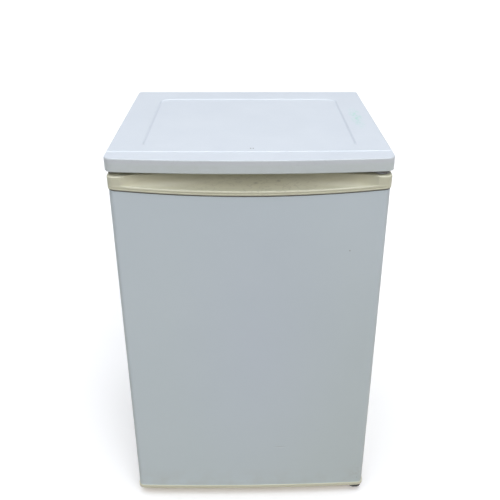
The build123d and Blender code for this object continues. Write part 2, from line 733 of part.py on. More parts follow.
def tray_form(half, y0, y1, z0, z1, wall, lean):
    """An open tray with walls that lean out towards the top."""
    width = 2 * half
    depth = y1 - y0
    middle = Pos(0, (y0 + y1) / 2, 0)
    top = RectangleRounded(width, depth, 12)
    foot = RectangleRounded(width - 2 * lean, depth - 2 * lean, 10)
    body = loft([Pos(0, 0, z0) * middle * foot, Pos(0, 0, z1) * middle * top])
    inner_top = RectangleRounded(width - 2 * wall, depth - 2 * wall, 12 - wall)
    inner_foot = RectangleRounded(width - 2 * lean - 2 * wall, depth - 2 * lean - 2 * wall, 10 - wall)
    room = loft([Pos(0, 0, z0 + wall) * middle * inner_foot, Pos(0, 0, z1) * middle * inner_top])
    return body - room


def crisper_drawer():
    """Salad drawer with a pull lip along its front edge."""
    tray = tray_form(208, -110, 62, ROOM_FLOOR + 2, 256, 2.2, 8)
    pull = block(-120, 120, -117, -109, 246, 256)
    pull = fillet(pull.edges().filter_by(Axis.Z).group_by(Axis.Y)[0], 6)
    pull -= block(-112, 112, -114.5, -109, 246, 253.5)
    return tray + pull


def seam_region(lift):
    """Everything above the sagging seam, raised by a lift."""
    end = SEAM_MIDDLE + SEAM_RISE + lift
    low = ThreePointArc((-SEAM_HALF, end), (0, SEAM_MIDDLE + lift), (SEAM_HALF, end))
    over = Polyline((SEAM_HALF, end), (SEAM_HALF, HEIGHT), (-SEAM_HALF, HEIGHT), (-SEAM_HALF, end))
    return extrude(Plane.XZ * make_face(low + over), amount=DEPTH, both=True)


def door_core(z0, z1):
    """Space inside the door skin between two heights."""
    side = DOOR_SIDE_Y + SHEET
    apex = DOOR_APEX_Y + SHEET
    plan = bowed_plan(DOOR_HALF - SHEET, side, apex, DOOR_BACK_Y - SHEET, DOOR_CORNER - SHEET)
    mouth = block(-RETURN_HALF, RETURN_HALF, DOOR_BACK_Y - SHEET, DOOR_BACK_Y, z0, z1)
    return column(plan, z0, z1) + mouth


def door_skin():
    """Painted sheet over the door's front and sides, cut along the sagging seam."""
    plan = bowed_plan(DOOR_HALF, DOOR_SIDE_Y, DOOR_APEX_Y, DOOR_BACK_Y, DOOR_CORNER)
    skin = column(plan, SKIN_BOTTOM, CAP_TOP) - door_core(SKIN_BOTTOM, CAP_TOP)
    return skin - seam_region(0)


def cap_plan(inset, corner):
    """Plan of the door's end caps, inset from their outside."""
    side = DOOR_SIDE_Y - CAP_PROUD + inset
    apex = DOOR_APEX_Y - CAP_PROUD + inset
    return bowed_plan(CAP_HALF - inset, side, apex, DOOR_BACK_Y, corner)


def scoop_plan(grow):
    """Plan of the finger pull, open to the front, with S-curved ends."""
    reach = 205.0
    deep = CORNER_PLANE + SCOOP_DEEP + grow
    shallow = CORNER_PLANE + 12.0 + grow
    tip_x = 249.0 + grow
    tip_y = CORNER_PLANE - 16.0
    back = ThreePointArc((-reach, shallow), (0, deep), (reach, shallow))
    shoulder = (238 + 0.7 * grow, CORNER_PLANE + 1.5 + 0.7 * grow)
    right = Spline((reach, shallow), shoulder, (tip_x, tip_y), tangents=((1, -0.14), (0.15, -1)))
    left = mirror(right, Plane.YZ)
    front = Line((tip_x, tip_y), (-tip_x, tip_y))
    return make_face(back + right + left + front)


def lip_plan():
    """Plan of the strip that the lip keeps, in front of the finger pull."""
    return cap_plan(-2, CAP_CORNER + 2) - cap_plan(LIP_THICK, CAP_CORNER - LIP_THICK)


def finger_pull(grow):
    """The hollows above and behind the door's lip."""
    plan = scoop_plan(grow)
    above = column(plan, SEAM_MIDDLE - 10, HEIGHT) & seam_region(LIP_LIFT - grow)
    behind = column(plan - lip_plan(), SEAM_MIDDLE - 10, HEIGHT) & seam_region(GUTTER_LIFT - grow)
    gutter = behind.solids().sort_by(Axis.Y)[-1]
    floor = gutter.faces().sort_by(Axis.Z)[0]
    return above, fillet(floor.edges().sort_by(Axis.Y)[1:], GUTTER_ROUND)


def door_top_cap():
    """Moulded cap on the door's top, with the full-width finger pull."""
    cap = column(cap_plan(0, CAP_CORNER), SEAM_MIDDLE - 5, CAP_TOP) & seam_region(0)
    cap = fillet(cap.faces().sort_by(Axis.Z)[-1].edges().filter_by(GeomType.LINE, reverse=True), 2.5)
    groove = column(cap_plan(-2, CAP_CORNER + 2) - cap_plan(GROOVE_DEEP, CAP_CORNER - 1), SEAM_MIDDLE - 5, CAP_TOP)
    cap -= groove & (seam_region(GROOVE_LOW) - seam_region(GROOVE_HIGH))
    cap += door_core(CAP_PLUG, SEAM_MIDDLE + SEAM_RISE)
    cap -= cap_hollow()
    cap += Pos(HINGE_X, HINGE_Y, CAP_TOP - 11) * Cylinder(10, 20)
    for hollow in finger_pull(0):
        cap -= hollow
    return cap - rod((HINGE_X, HINGE_Y, CAP_TOP - 20), (HINGE_X, HINGE_Y, CAP_TOP), 6.5)


def cap_hollow():
    """Space inside the top cap, open below."""
    plan = bowed_plan(DOOR_HALF - 5, DOOR_SIDE_Y + 5, DOOR_APEX_Y + 5, DOOR_BACK_Y - CAP_WALL, 6)
    room = column(plan, CAP_PLUG, CAP_TOP - CAP_WALL)
    for hollow in finger_pull(CAP_WALL):
        room -= hollow
    return room


def door_bottom_cap():
    """Moulded cap under the door, a little proud of the skin."""
    cap = column(cap_plan(0, CAP_CORNER), LOW_CAP_BOTTOM, SKIN_BOTTOM)
    cap = fillet(cap.faces().sort_by(Axis.Z)[0].edges().filter_by(GeomType.LINE, reverse=True), 2)
    cap += door_core(SKIN_BOTTOM, LOW_CAP_PLUG)
    plan = bowed_plan(DOOR_HALF - 5, DOOR_SIDE_Y + 5, DOOR_APEX_Y + 5, DOOR_BACK_Y - CAP_WALL, 6)
    cap -= column(plan, LOW_CAP_BOTTOM + CAP_WALL, LOW_CAP_PLUG)
    cap += Pos(HINGE_X, HINGE_Y, 32) * Cylinder(10, 22)
    for x in (-180, -90, 0, 90, 180):
        cap += block(x - 1, x + 1, DOOR_APEX_Y + 12, DOOR_BACK_Y - 2, LOW_CAP_BOTTOM + 2, LOW_CAP_PLUG)
    return cap - rod((HINGE_X, HINGE_Y, LOW_CAP_BOTTOM), (HINGE_X, HINGE_Y, LOW_CAP_PLUG), 6.5)


def hinge_bushes():
    """Flanged bushes for the hinge pins, pressed into the caps."""
    top = rod((HINGE_X, HINGE_Y, CAP_TOP - 20), (HINGE_X, HINGE_Y, CAP_TOP), 6.5)
    top += rod((HINGE_X, HINGE_Y, CAP_TOP), (HINGE_X, HINGE_Y, CAP_TOP + 1.7), 9)
    top -= rod((HINGE_X, HINGE_Y, CAP_TOP - 15), (HINGE_X, HINGE_Y, CAP_TOP + 2), PIN_RADIUS + PIN_PLAY)
    low = rod((HINGE_X, HINGE_Y, LOW_CAP_BOTTOM), (HINGE_X, HINGE_Y, LOW_CAP_PLUG), 6.5)
    plate_top = LOW_BRACKET_Z + BRACKET
    low += rod((HINGE_X, HINGE_Y, plate_top + 0.3), (HINGE_X, HINGE_Y, LOW_CAP_BOTTOM), 9)
    low -= rod((HINGE_X, HINGE_Y, plate_top), (HINGE_X, HINGE_Y, LOW_CAP_BOTTOM + 19), PIN_RADIUS + PIN_PLAY)
    return group([top, low])


def hinge_hole_plugs():
    """Plugs in the unused hinge holes at the door's left side."""
    top = rod((-HINGE_X, HINGE_Y, CAP_TOP), (-HINGE_X, HINGE_Y, CAP_TOP + 1.2), 8)
    low = rod((-HINGE_X, HINGE_Y, LOW_CAP_BOTTOM - 1.2), (-HINGE_X, HINGE_Y, LOW_CAP_BOTTOM), 8)
    return group([fillet(top.edges().group_by(Axis.Z)[-1], 0.8), fillet(low.edges().group_by(Axis.Z)[0], 0.8)])


def dyke_ring(inset, back_y):
    """The raised rim on the door's inner panel, or the space inside it."""
    half = DYKE_HALF - inset
    hole = DYKE_HALF - DYKE_WALL + inset
    outer = block(-half, half, DOOR_BACK_Y, back_y, DYKE_LOW + inset, DYKE_HIGH - inset)
    low = DYKE_LOW + DYKE_WALL - inset
    high = DYKE_HIGH - DYKE_WALL + inset
    inner = block(-hole, hole, DOOR_BACK_Y, back_y, low, high)
    outer = fillet(outer.edges().filter_by(Axis.Y), DYKE_CORNER - inset)
    return outer - fillet(inner.edges().filter_by(Axis.Y), 5 + inset)


def bin_ledges(z, tall):
    """Ledges on the rim's inner faces that carry one door shelf."""
    under = z + tall - 12
    ledge = block(BIN_HALF + 1, DYKE_HALF - DYKE_WALL, BIN_FRONT_Y + 4, DYKE_BACK_Y - 4, under - 4, under)
    return ledge + mirror(ledge, Plane.YZ)


def door_liner():
    """Formed inner panel of the door with its rim and ledges."""
    panel = block(-PANEL_HALF, PANEL_HALF, DOOR_BACK_Y, DOOR_BACK_Y + LINER, LOW_CAP_BOTTOM + 4, CAP_TOP - 4)
    rim = dyke_ring(0, DYKE_BACK_Y)
    rim = fillet(rim.faces().sort_by(Axis.Y)[-1].edges(), 4)
    liner = panel + rim - dyke_ring(LINER, DYKE_BACK_Y - LINER)
    liner += bin_ledges(BOTTLE_BIN_Z, BOTTLE_BIN_TALL)
    liner += bin_ledges(MIDDLE_BIN_Z, SMALL_BIN_TALL)
    liner += bin_ledges(TOP_BIN_Z, SMALL_BIN_TALL)
    return liner


def door_foam():
    """Insulation in the door: the main slab and four bars inside the rim."""
    inset = LINER + 3.6
    half = DYKE_HALF - inset
    hole = DYKE_HALF - DYKE_WALL + LINER
    y0 = DOOR_BACK_Y
    y1 = DYKE_BACK_Y - inset
    low = DYKE_LOW + inset
    high = DYKE_HIGH - inset
    bars = both(block(hole, half, y0, y1, low, high))
    bars.append(block(-hole, hole, y0, y1, low, DYKE_LOW + DYKE_WALL - LINER))
    bars.append(block(-hole, hole, y0, y1, DYKE_HIGH - DYKE_WALL + LINER, high))
    return group([door_core(LOW_CAP_PLUG, CAP_PLUG)] + bars)


def door_gasket():
    """Magnetic seal all round the door's inner panel."""
    y0 = DOOR_BACK_Y + LINER
    y1 = CABINET_FRONT - SEAL_GAP
    seal = block(-SEAL_OUT, SEAL_OUT, y0, y1, SEAL_LOW, SEAL_HIGH)
    wide = SEAL_OUT - SEAL_IN
    seal -= block(-SEAL_IN, SEAL_IN, y0, y1, SEAL_LOW + wide, SEAL_HIGH - wide)
    neck = block(3 - SEAL_OUT, SEAL_OUT - 3, y0 + 2, y0 + 4, SEAL_LOW + 3, SEAL_HIGH - 3)
    outer = block(-SEAL_OUT, SEAL_OUT, y0 + 2, y0 + 4, SEAL_LOW, SEAL_HIGH)
    return seal - (outer - neck)


def door_bin(z, tall):
    """Open door shelf with end rims that hang on the ledges."""
    y0 = BIN_FRONT_Y
    y1 = BIN_BACK_Y
    box = block(-BIN_HALF, BIN_HALF, y0, y1, z, z + tall)
    box = fillet(box.edges().filter_by(Axis.Z).group_by(Axis.Y)[-1], 12)
    room = block(BIN_WALL - BIN_HALF, BIN_HALF - BIN_WALL, y0 + BIN_WALL, y1 - BIN_WALL, z + BIN_WALL, z + tall)
    room = fillet(room.edges().filter_by(Axis.Z).group_by(Axis.Y)[-1], 10)
    under = z + tall - 12
    rim = block(BIN_HALF, BIN_RIM_HALF, y0 + 6, DYKE_BACK_Y - 6, under + 0.1, under + 4)
    return box - room + rim + mirror(rim, Plane.YZ)


def top_bin():
    """Upper door shelf with ears for its lid."""
    ear = block(BIN_HALF - 3, BIN_HALF, BIN_FRONT_Y, BIN_FRONT_Y + 14, TOP_BIN_Z + SMALL_BIN_TALL, LID_Z + 6)
    ear -= rod((BIN_HALF - 3, LID_Y, LID_Z), (BIN_HALF, LID_Y, LID_Z), 2.05)
    return door_bin(TOP_BIN_Z, SMALL_BIN_TALL) + ear + mirror(ear, Plane.YZ)


def dairy_lid():
    """Curved lid that tips up over the top shelf."""
    half = BIN_HALF - 4
    back = BIN_BACK_Y + 2.4
    low = TOP_BIN_Z + SMALL_BIN_TALL - 18
    crown = ThreePointArc((LID_Y, LID_Z + 2.6), (back - 40, LID_Z + 4.6), (back - 14, LID_Z + 1))
    bend = ThreePointArc((back - 14, LID_Z + 1), (back - 4, LID_Z - 5), (back, LID_Z - 16))
    front = Line((back, LID_Z - 16), (back, low))
    strip = Plane.YZ * trace(crown + bend + front, 2.0)
    lid = extrude(strip, amount=half, both=True)
    barrel = rod((-half, LID_Y, LID_Z), (half, LID_Y, LID_Z), 3.6)
    pins = rod((-BIN_HALF + 0.3, LID_Y, LID_Z), (BIN_HALF - 0.3, LID_Y, LID_Z), 2)
    return lid + barrel + pins


def cut(shape, tools):
    """The shape with room for the tools taken out of it."""
    return shape - list(tools)


def build():
    """Make every node and write it."""
    os.makedirs("parts", exist_ok=True)
    coil = condenser_tube()
    suction = suction_line()
    capillary = capillary_tube()
    pipes = [suction, capillary, rod((0, 196, 186), (0, 196, STEP_TOP), 5)]
    screws = cabinet_screws()
    pins = [top_pin(), bottom_pin()]
    stems = both(rod((FOOT_X, FRONT_FOOT_Y, 20), (FOOT_X, FRONT_FOOT_Y, 46), 5.5))
    bolts = compressor_bolts()

    save("worktop", cut(worktop(), screws))
    save("side_panel_right", cut(side_panel(), screws))
    save("side_panel_left", mirror(side_panel(), Plane.YZ))
    save("top_panel", cut(top_panel(), screws))
    save("front_rail", cut(front_rail(), screws))
    save("back_panel", cut(back_panel(), pipes + screws))
    save("base_panel", group(cut(sheet, pipes + stems) for sheet in base_panel()))
    save("cabinet_foam", group(cut(slab, screws + pipes + stems) for slab in cabinet_foam()))
    save("inner_liner", cut(inner_liner(), pipes))
    save("top_hinge_bracket", cut(top_hinge(), screws + pins))
    save("bottom_hinge_bracket", cut(bottom_hinge(), screws + pins))
    save("hinge_pins", group(pins))
    save("cabinet_screws", group(screws))

    save("base_rails", group([cut(rail, stems) for rail in both(base_rail())] + foot_nuts()))
    save("front_foot_right", front_foot())
    save("front_foot_left", mirror(front_foot(), Plane.YZ))
    save("rear_feet", rear_feet())
    save("plinth", plinth())

    save("compressor_plate", cut(compressor_plate(), bolts))
    save("compressor_mounts", group(cut(mount, bolts) for mount in compressor_mounts()))
    save("compressor_bolts", group(bolts))
    save("compressor_shell", cut(compressor_shell(), bolts + [coil, suction]))
    save("compressor_motor", compressor_motor())
    save("terminal_box", terminal_box())
    save("cord_gland", cord_gland())
    save("condenser_tube", coil)
    save("condenser_wires", group(condenser_wires()))
    save("condenser_brackets", group(condenser_brackets(coil)))
    save("filter_drier", cut(filter_drier(), [coil, capillary]))
    save("capillary_tube", capillary)
    save("suction_line", suction)
    save("evaporator_plate", cut(evaporator_plate(), evaporator_pegs() + pipes))
    save("drip_tray", drip_tray())
    save("drain_hose", drain_hose())

    save("control_housing", control_housing())
    save("lamp_cover", lamp_cover())
    save("lamp_bulb", lamp_bulb())
    save("lamp_holder", lamp_holder())
    save("thermostat_body", thermostat_body())
    save("thermostat_spindle", thermostat_spindle())
    save("thermostat_knob", thermostat_knob())
    save("light_switch", light_switch())

    shelf = wire_shelf()
    for name, level in zip(("low", "middle", "top"), SHELF_LEVELS):
        save("wire_shelf_" + name, group(Pos(0, 0, level) * piece for piece in shelf))
    save("crisper_cover", crisper_cover())
    save("crisper_trim", crisper_trim())
    save("crisper_drawer", crisper_drawer())

    save("door_skin", door_skin())
    save("door_top_cap", door_top_cap())
    save("door_bottom_cap", door_bottom_cap())
    save("door_liner", door_liner())
    save("door_foam", door_foam())
    save("door_gasket", door_gasket())
    save("hinge_bushes", hinge_bushes())
    save("hinge_hole_plugs", hinge_hole_plugs())
    save("door_bin_bottle", door_bin(BOTTLE_BIN_Z, BOTTLE_BIN_TALL))
    save("door_bin_middle", door_bin(MIDDLE_BIN_Z, SMALL_BIN_TALL))
    save("door_bin_top", top_bin())
    save("dairy_lid", dairy_lid())


build()
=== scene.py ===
import json
import math

import bmesh
import bpy
from mathutils import Matrix, Vector

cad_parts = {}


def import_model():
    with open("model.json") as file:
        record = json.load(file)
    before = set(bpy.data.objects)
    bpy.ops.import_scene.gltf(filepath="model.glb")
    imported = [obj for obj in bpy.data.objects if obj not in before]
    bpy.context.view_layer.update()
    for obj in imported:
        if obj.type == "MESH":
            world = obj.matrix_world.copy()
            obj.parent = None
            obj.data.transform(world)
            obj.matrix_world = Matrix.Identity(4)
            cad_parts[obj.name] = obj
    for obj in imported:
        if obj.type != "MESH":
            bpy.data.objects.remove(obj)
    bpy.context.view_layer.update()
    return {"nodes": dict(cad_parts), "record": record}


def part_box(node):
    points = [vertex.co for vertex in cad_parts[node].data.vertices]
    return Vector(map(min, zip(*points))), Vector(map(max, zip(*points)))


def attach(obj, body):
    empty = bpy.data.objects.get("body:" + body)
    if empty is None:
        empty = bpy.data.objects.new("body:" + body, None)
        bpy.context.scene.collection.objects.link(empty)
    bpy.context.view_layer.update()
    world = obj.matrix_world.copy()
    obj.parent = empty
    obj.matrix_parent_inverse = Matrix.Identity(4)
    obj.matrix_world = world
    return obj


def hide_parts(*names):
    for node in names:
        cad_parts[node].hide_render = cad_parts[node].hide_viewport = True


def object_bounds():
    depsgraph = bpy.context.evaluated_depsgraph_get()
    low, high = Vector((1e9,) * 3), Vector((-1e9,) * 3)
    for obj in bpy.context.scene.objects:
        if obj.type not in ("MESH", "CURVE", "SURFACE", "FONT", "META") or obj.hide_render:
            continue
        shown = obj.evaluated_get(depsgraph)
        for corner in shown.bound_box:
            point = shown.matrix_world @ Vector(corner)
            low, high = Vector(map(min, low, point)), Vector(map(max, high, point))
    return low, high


# Undercounter refrigerator.  Metres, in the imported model's frame: origin on the floor
# under the middle of the box, +Z up, door on the -Y side, hinges on the +X side.

MM = 0.001

# How far the worktop's front corners stand behind the middle of its bowed front, and how
# far its sunk field stays from its sides
WORKTOP_BOW = 0.014
FIELD_MARGIN = 0.0655

# Places of the colour sockets on a Mix node
MIX_LOW = 6
MIX_HIGH = 7
MIX_RESULT = 2


# ---------------------------------------------------------------- node helpers

def start_material(name, color, roughness, metallic=0.0):
    """A new material and its Principled shader, with the plain values set."""
    material = bpy.data.materials.new(name)
    material.use_nodes = True
    shader = material.node_tree.nodes["Principled BSDF"]
    shader.inputs["Base Color"].default_value = (*color, 1.0)
    shader.inputs["Roughness"].default_value = roughness
    shader.inputs["Metallic"].default_value = metallic
    return material, shader


def place(material):
    """The piece's own coordinates in metres, shared by every texture of the material."""
    nodes = material.node_tree.nodes
    found = nodes.get("Place")
    if found is None:
        found = nodes.new("ShaderNodeTexCoord")
        found.name = "Place"
    return found.outputs["Object"]


def plug(material, value, socket):
    """Link a socket, or set a plain value."""
    if isinstance(value, bpy.types.NodeSocket):
        material.node_tree.links.new(value, socket)
    elif isinstance(value, tuple) and len(value) == 3 and socket.type == "RGBA":
        socket.default_value = (*value, 1.0)
    else:
        socket.default_value = value


def math_node(material, operation, a, b=0.0):
    """One math operation on two numbers or sockets."""
    node = material.node_tree.nodes.new("ShaderNodeMath")
    node.operation = operation
    plug(material, a, node.inputs[0])
    plug(material, b, node.inputs[1])
    return node.outputs[0]


def stretch_range(material, value, low, high, to_low=0.0, to_high=1.0):
    """A value moved from one range to another, and held inside it."""
    node = material.node_tree.nodes.new("ShaderNodeMapRange")
    plug(material, value, node.inputs["Value"])
    node.inputs["From Min"].default_value = low
    node.inputs["From Max"].default_value = high
    node.inputs["To Min"].default_value = to_low
    node.inputs["To Max"].default_value = to_high
    return node.outputs["Result"]


def mapped(material, scale):
    """The piece's coordinates, stretched along each axis."""
    node = material.node_tree.nodes.new("ShaderNodeMapping")
    plug(material, place(material), node.inputs["Vector"])
    node.inputs["Scale"].default_value = scale
    return node.outputs["Vector"]


def noise(material, scale, detail=3.0, grain=(1.0, 1.0, 1.0)):
    """Soft noise with that many features to the metre, drawn out along an axis by grain."""
    node = material.node_tree.nodes.new("ShaderNodeTexNoise")
    plug(material, mapped(material, grain), node.inputs["Vector"])
    node.inputs["Scale"].default_value = scale
    node.inputs["Detail"].default_value = detail
    node.inputs["Roughness"].default_value = 0.55
    return node.outputs["Fac"]


def cloud(material, scale, low=0.38, high=0.64, grain=(1.0, 1.0, 1.0)):
    """Soft patches from 0 to 1."""
    return stretch_range(material, noise(material, scale, 4, grain), low, high)


def cells(material, scale):
    """Distance to the nearest point of a scattered set."""
    node = material.node_tree.nodes.new("ShaderNodeTexVoronoi")
    plug(material, place(material), node.inputs["Vector"])
    node.inputs["Scale"].default_value = scale
    return node.outputs["Distance"]


def along(material, axis):
    """One coordinate of the place, in metres."""
    node = material.node_tree.nodes.new("ShaderNodeSeparateXYZ")
    plug(material, place(material), node.inputs["Vector"])
    return node.outputs["XYZ".index(axis)]


def near(material, center, inner, outer, squeeze):
    """A mask round a point: 1 inside a radius and 0 outside a larger one, with each axis scaled first."""
    shift = material.node_tree.nodes.new("ShaderNodeVectorMath")
    shift.operation = "SUBTRACT"
    plug(material, place(material), shift.inputs[0])
    shift.inputs[1].default_value = center
    scale = material.node_tree.nodes.new("ShaderNodeVectorMath")
    scale.operation = "MULTIPLY"
    plug(material, shift.outputs["Vector"], scale.inputs[0])
    scale.inputs[1].default_value = squeeze
    length = material.node_tree.nodes.new("ShaderNodeVectorMath")
    length.operation = "LENGTH"
    plug(material, scale.outputs["Vector"], length.inputs[0])
    return stretch_range(material, length.outputs["Value"], inner, outer, 1.0, 0.0)


def mix_color(material, factor, low, high):
    """A colour between two others."""
    node = material.node_tree.nodes.new("ShaderNodeMix")
    node.data_type = "RGBA"
    plug(material, factor, node.inputs["Factor"])
    plug(material, low, node.inputs[MIX_LOW])
    plug(material, high, node.inputs[MIX_HIGH])
    return node.outputs[MIX_RESULT]


def spots(material, scale, size):
    """Scattered specks: 1 inside and 0 outside, with a size as a share of their spacing."""
    return stretch_range(material, cells(material, scale), size * 0.5, size, 1.0, 0.0)


def lines(material, scale, width, grain):
    """Thin wandering lines where a drawn-out noise crosses its middle value."""
    height = math_node(material, "SUBTRACT", noise(material, scale, 2, grain), 0.5)
    gap = math_node(material, "ABSOLUTE", height)
    return stretch_range(material, gap, 0.0, width, 1.0, 0.0)


def facing_up(material):
    """1 on surfaces that face up and 0 on the rest."""
    geometry = material.node_tree.nodes.new("ShaderNodeNewGeometry")
    split = material.node_tree.nodes.new("ShaderNodeSeparateXYZ")
    plug(material, geometry.outputs["Normal"], split.inputs["Vector"])
    return stretch_range(material, split.outputs["Z"], 0.5, 0.95)


def weaken(material, mask, share):
    """A mask held to a share of its strength."""
    return math_node(material, "MULTIPLY", mask, share)


def both_masks(material, first, second):
    """Where two masks meet."""
    return math_node(material, "MULTIPLY", first, second)


def relief(material, shader, height, depth):
    """Bump of a given depth in metres from a 0 to 1 height."""
    node = material.node_tree.nodes.new("ShaderNodeBump")
    node.inputs["Distance"].default_value = depth
    plug(material, height, node.inputs["Height"])
    plug(material, node.outputs["Normal"], shader.inputs["Normal"])


# ---------------------------------------------------------------- camera and light

def add_camera():
    """The camera, above the worktop and in front of the door."""
    low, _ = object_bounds()
    lens = bpy.data.cameras.new("camera")
    camera = bpy.data.objects.new("camera", lens)
    bpy.context.scene.collection.objects.link(camera)
    front = low[1] + WORKTOP_BOW
    camera.location = (-0.0093, front - 1.2214, 1.2578)
    down, turn, roll = (math.radians(angle) for angle in (28.23, 1.57, -0.36))
    aim = Matrix.Rotation(-turn, 4, "Z") @ Matrix.Rotation(math.pi / 2 - down, 4, "X")
    camera.rotation_euler = (aim @ Matrix.Rotation(-roll, 4, "Z")).to_euler()
    lens.sensor_width = 36.0
    lens.lens = 49.1
    lens.shift_x = -0.0248
    lens.shift_y = 0.05
    bpy.context.scene.camera = camera


def add_sky_light(name, direction, power, color, spread):
    """A soft light from far away, with its angular size in degrees."""
    light = bpy.data.lights.new(name, "SUN")
    light.energy = power
    light.angle = math.radians(spread)
    light.color = color
    lamp = bpy.data.objects.new(name, light)
    bpy.context.scene.collection.objects.link(lamp)
    lamp.location = (0.0, 0.0, 3.0)
    lamp.rotation_euler = Vector(direction).to_track_quat("-Z", "Y").to_euler()


def soft_surround():
    """Light from all round: cool from above, dimmer and warmer from below."""
    world = bpy.data.worlds.new("surround")
    world.use_nodes = True
    nodes = world.node_tree.nodes
    links = world.node_tree.links
    direction = nodes.new("ShaderNodeTexCoord")
    split = nodes.new("ShaderNodeSeparateXYZ")
    height = nodes.new("ShaderNodeMapRange")
    height.inputs["From Min"].default_value = -0.35
    height.inputs["From Max"].default_value = 0.35
    blend = nodes.new("ShaderNodeMix")
    blend.data_type = "RGBA"
    blend.inputs[MIX_LOW].default_value = (0.125, 0.118, 0.085, 1.0)
    blend.inputs[MIX_HIGH].default_value = (0.27, 0.28, 0.295, 1.0)
    links.new(direction.outputs["Generated"], split.inputs["Vector"])
    links.new(split.outputs["Z"], height.inputs["Value"])
    links.new(height.outputs["Result"], blend.inputs["Factor"])
    links.new(blend.outputs[MIX_RESULT], nodes["Background"].inputs["Color"])
    nodes["Background"].inputs["Strength"].default_value = 1.0
    return world


WALL_RADIUS = 11.5
WALL_TALL = 9.0
WALL_STEPS = 64


def add_backdrop():
    """A pale round wall far behind the floor, seen by the eye alone and lighting nothing."""
    material, shader = start_material("backdrop", (0.0, 0.0, 0.0), 1.0)
    shader.inputs["Emission Color"].default_value = (0.93, 0.94, 0.95, 1.0)
    shader.inputs["Emission Strength"].default_value = 1.0
    corners = arc((0.0, 0.0), WALL_RADIUS, 0, 360, WALL_STEPS)[:-1]
    rings = [[(x, y, z) for x, y in corners] for z in (-0.01, WALL_TALL)]
    vertices, faces = skin_rings(rings)
    mesh = bpy.data.meshes.new("backdrop")
    mesh.from_pydata(vertices, [], faces)
    mesh.materials.append(material)
    wall = bpy.data.objects.new("backdrop", mesh)
    bpy.context.scene.collection.objects.link(wall)
    wall.visible_diffuse = False
    wall.visible_glossy = False
    wall.visible_shadow = False


def add_studio():
    """Pale floor, even surround, an overhead softbox and a low fill from the front."""
    scene = bpy.context.scene
    scene.view_settings.view_transform = "Standard"
    scene.world = soft_surround()
    add_sky_light("overhead", (0.0, 0.2, -1.0), 2.25, (0.86, 0.92, 1.0), 75)
    add_sky_light("front_fill", (-0.42, 1.0, -0.74), 0.75, (1.0, 0.985, 0.96), 30)

    material, shader = start_material("floor", (0.97, 0.97, 0.97), 0.9)
    shader.inputs["Emission Color"].default_value = (1.0, 0.85, 0.72, 1.0)
    shader.inputs["Emission Strength"].default_value = 0.2
    mesh = bpy.data.meshes.new("floor")
    half = 12.0
    corners = [(-half, -half, 0), (half, -half, 0), (half, half, 0), (-half, half, 0)]
    mesh.from_pydata(corners, [], [(0, 1, 2, 3)])
    mesh.materials.append(material)
    floor = bpy.data.objects.new("floor", mesh)
    scene.collection.objects.link(floor)
    floor.visible_diffuse = False
    add_backdrop()


# ---------------------------------------------------------------- mesh helpers

def new_piece(name, vertices, faces, material, smooth_below=35.0):
    """A mesh object from vertices and faces, welded, with degenerate bits dissolved, normals made
    consistent and smooth-shaded.
    """
    mesh = bpy.data.meshes.new(name)
    work = bmesh.new()
    points = [work.verts.new(point) for point in vertices]
    for face in faces:
        work.faces.new([points[index] for index in face])
    bmesh.ops.remove_doubles(work, verts=work.verts, dist=0.00002)
    bmesh.ops.dissolve_degenerate(work, edges=work.edges, dist=0.00001)
    bmesh.ops.recalc_face_normals(work, faces=work.faces)
    work.to_mesh(mesh)
    work.free()
    mesh.polygons.foreach_set("use_smooth", [True] * len(mesh.polygons))
    mesh.set_sharp_from_angle(angle=math.radians(smooth_below))
    mesh.materials.append(material)
    piece = bpy.data.objects.new(name, mesh)
    bpy.context.scene.collection.objects.link(piece)
    return piece


def skin_rings(rings):
    """Vertices and quads of a closed profile repeated along a path."""
    count = len(rings[0])
    vertices = [point for ring in rings for point in ring]
    faces = []
    for ring in range(len(rings) - 1):
        for index in range(count):
            after = (index + 1) % count
            a, b = ring * count, (ring + 1) * count
            faces.append((a + index, a + after, b + after, b + index))
    return vertices, faces


def smoothstep(value):
    """Eases from 0 to 1."""
    held = min(max(value, 0.0), 1.0)
    return held * held * (3 - 2 * held)


def arc(center, radius, start, end, steps):
    """Points of an arc in a plane, angles in degrees."""
    points = []
    for step in range(steps + 1):
        angle = math.radians(start + (end - start) * step / steps)
        points.append((center[0] + radius * math.cos(angle), center[1] + radius * math.sin(angle)))
    return points


def spread(start, end, pitch):
    """Evenly spaced numbers from start to end, the end left out."""
    count = max(1, round((end - start) / pitch))
    return [start + (end - start) * step / count for step in range(count)]


# ---------------------------------------------------------------- door cap with the finger pull

CAP_BOW = 6 * MM
CAP_CORNER = 14 * MM
SEAM_HALF = 0.3
SEAM_RISE = 14.6 * MM
SEAM_DROP = 39.5 * MM
SEAM_GAP = 2.6 * MM
LIP_LIFT = 11.8 * MM
LIP_RADIUS = 3 * MM
PULL_HALF = 0.205
PULL_END = 0.249
PULL_DEEP = 35.5 * MM
PULL_BOW = 14 * MM
PULL_END_SWEEP = 28 * MM
PULL_END_SHARPNESS = 0.57
PULL_CLOSE = 6
PULL_BLEND = 2.5 * MM


